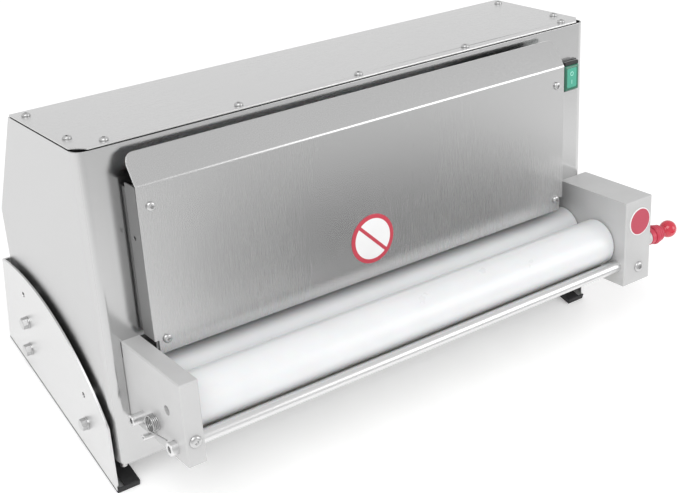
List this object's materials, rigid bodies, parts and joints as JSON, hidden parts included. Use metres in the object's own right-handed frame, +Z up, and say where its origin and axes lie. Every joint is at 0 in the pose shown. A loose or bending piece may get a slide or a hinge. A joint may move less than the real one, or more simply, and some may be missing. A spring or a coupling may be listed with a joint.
{
  "type": "dough sheeter",
  "caption": "Bench-top dough sheeter: leaning steel housing on side brackets, feed chute, paired white rollers between alloy blocks, and a sprung thickness lever.",
  "frame": {"origin": "centre of the whole object's footprint, on the surface that the rubber feet rest on", "axes": "+X along the rollers, to the right seen from the front; +Y to the rear; +Z up"},
  "size_m": [0.6314, 0.3256, 0.3036],
  "materials": {
    "sheet_steel": "fine brushed stainless sheet",
    "block_alloy": "satin, lightly blasted",
    "roller_plastic": "smooth white food-grade plastic",
    "bright_steel": "turned and polished",
    "gear_steel": "machined",
    "bearing_bronze": "turned bronze",
    "fastener_steel": "bright stainless",
    "spring_steel": "bright drawn wire",
    "scraper_plastic": "smooth white",
    "foot_rubber": "matt black",
    "red_plastic": "moulded red",
    "sign_print": "white film with a red ring and bar",
    "black_plastic": "moulded black",
    "green_plastic": "translucent green",
    "motor_paint": "blue enamel",
    "gearbox_alloy": "die cast",
    "capacitor_shell": "plain drawn can"
  },
  "bodies": {
    "machine": {"base_plate": "sheet_steel", "base_studs": "fastener_steel", "block_front_screws": "fastener_steel", "bracket_bolts": "fastener_steel", "bracket_spacers": "bright_steel", "cable_gland": "black_plastic", "chute_frames": "sheet_steel", "chute_plate": "sheet_steel", "chute_screws": "fastener_steel", "cover_screws": "fastener_steel", "drive_bracket": "motor_paint", "fan_cowl": "black_plastic", "gear_case_cover": "block_alloy", "gearbox_case": "gearbox_alloy", "housing_screws": "fastener_steel", "housing_shell": "sheet_steel", "left_block": "block_alloy", "left_bracket": "sheet_steel", "left_foot_strip": "foot_rubber", "motor_body": "motor_paint", "motor_capacitor": "capacitor_shell", "rear_cover": "sheet_steel", "rear_roller_bushes": "bearing_bronze", "rear_scraper_blade": "scraper_plastic", "rear_scraper_rail": "bright_steel", "rear_scraper_screws": "fastener_steel", "red_disc": "red_plastic", "right_block": "block_alloy", "right_bracket": "sheet_steel", "right_foot_strip": "foot_rubber", "scraper_spring": "spring_steel", "sign_disc": "sign_print", "slide_guides": "bright_steel", "spring_posts": "bright_steel", "switch_bezel": "black_plastic", "switch_hood": "green_plastic", "terminal_box": "black_plastic", "tongue_bolts": "fastener_steel", "top_lid": "sheet_steel"},
    "rear_roller_set": {"rear_roller": "roller_plastic", "rear_roller_shaft": "bright_steel", "rear_roller_gear": "gear_steel"},
    "drive_output": {"drive_gear": "gear_steel", "drive_shaft": "bright_steel"},
    "gap_carriage": {"slide_bushes": "bearing_bronze", "outer_slide_block": "bearing_bronze", "cam_follower_pin": "bright_steel"},
    "front_roller_set": {"front_roller": "roller_plastic", "front_roller_shaft": "bright_steel", "front_roller_gear": "gear_steel"},
    "thickness_lever": {"scroll_cam": "bright_steel", "lever_arm": "bright_steel", "handle_collar": "bright_steel", "handle_sleeve": "red_plastic"},
    "index_plunger": {"plunger_pin": "bright_steel", "plunger_spring": "spring_steel", "ball_knob": "red_plastic"},
    "front_scraper": {"front_scraper_rod": "bright_steel", "front_scraper_blade": "scraper_plastic"},
    "rocker": {"switch_rocker": "green_plastic"}
  },
  "joints": [
    {"name": "rear_roller_spin", "type": "hinge", "parent": "machine", "child": "rear_roller_set", "pos_m": [-0.0195, -0.06336, 0.09686], "axis": [1, 0, 0], "continuous": true},
    {"name": "drive_spin", "type": "hinge", "parent": "machine", "child": "drive_output", "pos_m": [0.2445, -0.0147, 0.1008], "axis": [1, 0, 0], "continuous": true},
    {"name": "gap_slide", "type": "slide", "parent": "machine", "child": "gap_carriage", "axis": [0, -0.9516, 0.3074], "range_m": [0, 0.0035]},
    {"name": "front_roller_spin", "type": "hinge", "parent": "gap_carriage", "child": "front_roller_set", "pos_m": [-0.0195, -0.1098, 0.11186], "axis": [1, 0, 0], "continuous": true},
    {"name": "lever_turn", "type": "hinge", "parent": "machine", "child": "thickness_lever", "pos_m": [0.2715, -0.1098, 0.11186], "axis": [-1, 0, 0], "range_deg": [0, 90]},
    {"name": "plunger_pull", "type": "slide", "parent": "thickness_lever", "child": "index_plunger", "axis": [1, 0, 0], "range_m": [0, 0.005], "stiffness_N_per_m": 600, "springref_m": -0.008},
    {"name": "scraper_tilt", "type": "hinge", "parent": "machine", "child": "front_scraper", "pos_m": [-0.0195, -0.14139, 0.10126], "axis": [-1, 0, 0], "range_deg": [0, 10], "stiffness_Nm_per_rad": 0.3, "springref_deg": -17.19},
    {"name": "rocker_tilt", "type": "hinge", "parent": "machine", "child": "rocker", "pos_m": [0.2365, -0.00094, 0.24978], "axis": [1, 0, 0], "range_deg": [0, 5]}
  ],
  "couplings": [
    {"joint": "drive_spin", "follows": "rear_roller_spin", "ratio": -1},
    {"joint": "front_roller_spin", "follows": "rear_roller_spin", "ratio": -1},
    {"joint": "lever_turn", "follows": "gap_slide", "rad_per_m": 448.8}
  ]
}
